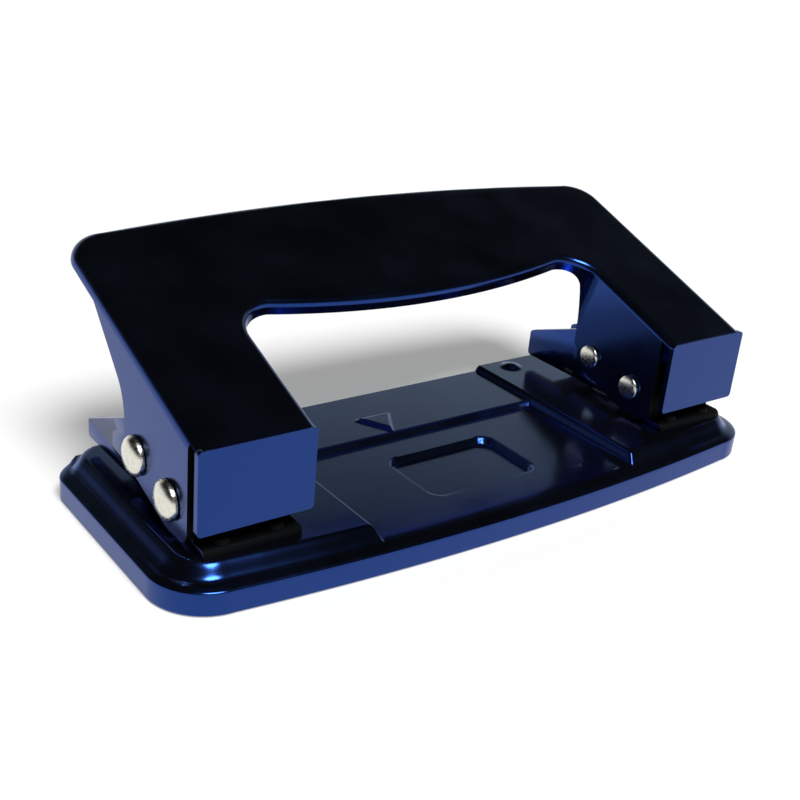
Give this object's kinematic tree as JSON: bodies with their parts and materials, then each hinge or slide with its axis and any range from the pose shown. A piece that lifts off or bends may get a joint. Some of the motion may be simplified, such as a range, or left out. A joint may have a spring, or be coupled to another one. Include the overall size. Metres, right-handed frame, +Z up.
{
  "type": "two-hole punch",
  "caption": "Small desk paper punch in black painted pressed steel: low base with a chip tray, wide bent sheet handle on domed pins, sprung punches under its legs.",
  "frame": {"origin": "middle of the underside, on the table", "axes": "+X along the length to the viewer's right, -Y towards the bare front flaps, +Y towards the side where paper goes in, +Z up"},
  "size_m": [0.105, 0.0492, 0.0358],
  "materials": {
    "black_paint": "gloss black paint on pressed steel",
    "tray_plastic": "black moulded plastic",
    "tool_steel": "ground tool steel",
    "spring_wire": "bright spring steel",
    "nickel_pins": "bright nickel plate"
  },
  "bodies": {
    "frame": {"base_plate": "black_paint", "left_bracket": "black_paint", "right_bracket": "black_paint", "left_bracket_rivets": "black_paint", "right_bracket_rivets": "black_paint", "left_stripper": "tool_steel", "right_stripper": "tool_steel", "left_die": "tool_steel", "right_die": "tool_steel", "left_spring": "spring_wire", "right_spring": "spring_wire", "left_pivot_pin": "nickel_pins", "right_pivot_pin": "nickel_pins"},
    "handle": {"handle": "black_paint"},
    "left_punch_set": {"left_punch": "tool_steel", "left_spring_clip": "spring_wire", "left_drive_pin": "nickel_pins"},
    "right_punch_set": {"right_punch": "tool_steel", "right_spring_clip": "spring_wire", "right_drive_pin": "nickel_pins"},
    "tray": {"chip_tray": "tray_plastic"}
  },
  "joints": [
    {"name": "handle_press", "type": "hinge", "parent": "frame", "child": "handle", "pos_m": [0, -0.0077, 0.0112], "axis": [-1, 0, 0], "range_deg": [0, 17], "stiffness_Nm_per_rad": 0.3, "springref_deg": -20.05},
    {"name": "left_punch_slide", "type": "slide", "parent": "frame", "child": "left_punch_set", "axis": [0, 0, -1], "range_m": [0, 0.0028], "deforming": ["left_spring"]},
    {"name": "right_punch_slide", "type": "slide", "parent": "frame", "child": "right_punch_set", "axis": [0, 0, -1], "range_m": [0, 0.0028], "deforming": ["right_spring"]},
    {"name": "tray_pull", "type": "slide", "parent": "frame", "child": "tray", "axis": [0, 0, -1], "range_m": [0, 0.012]}
  ],
  "couplings": [
    {"joint": "left_punch_slide", "follows": "handle_press", "m_per_rad": 0.00933},
    {"joint": "right_punch_slide", "follows": "handle_press", "m_per_rad": 0.00933}
  ]
}
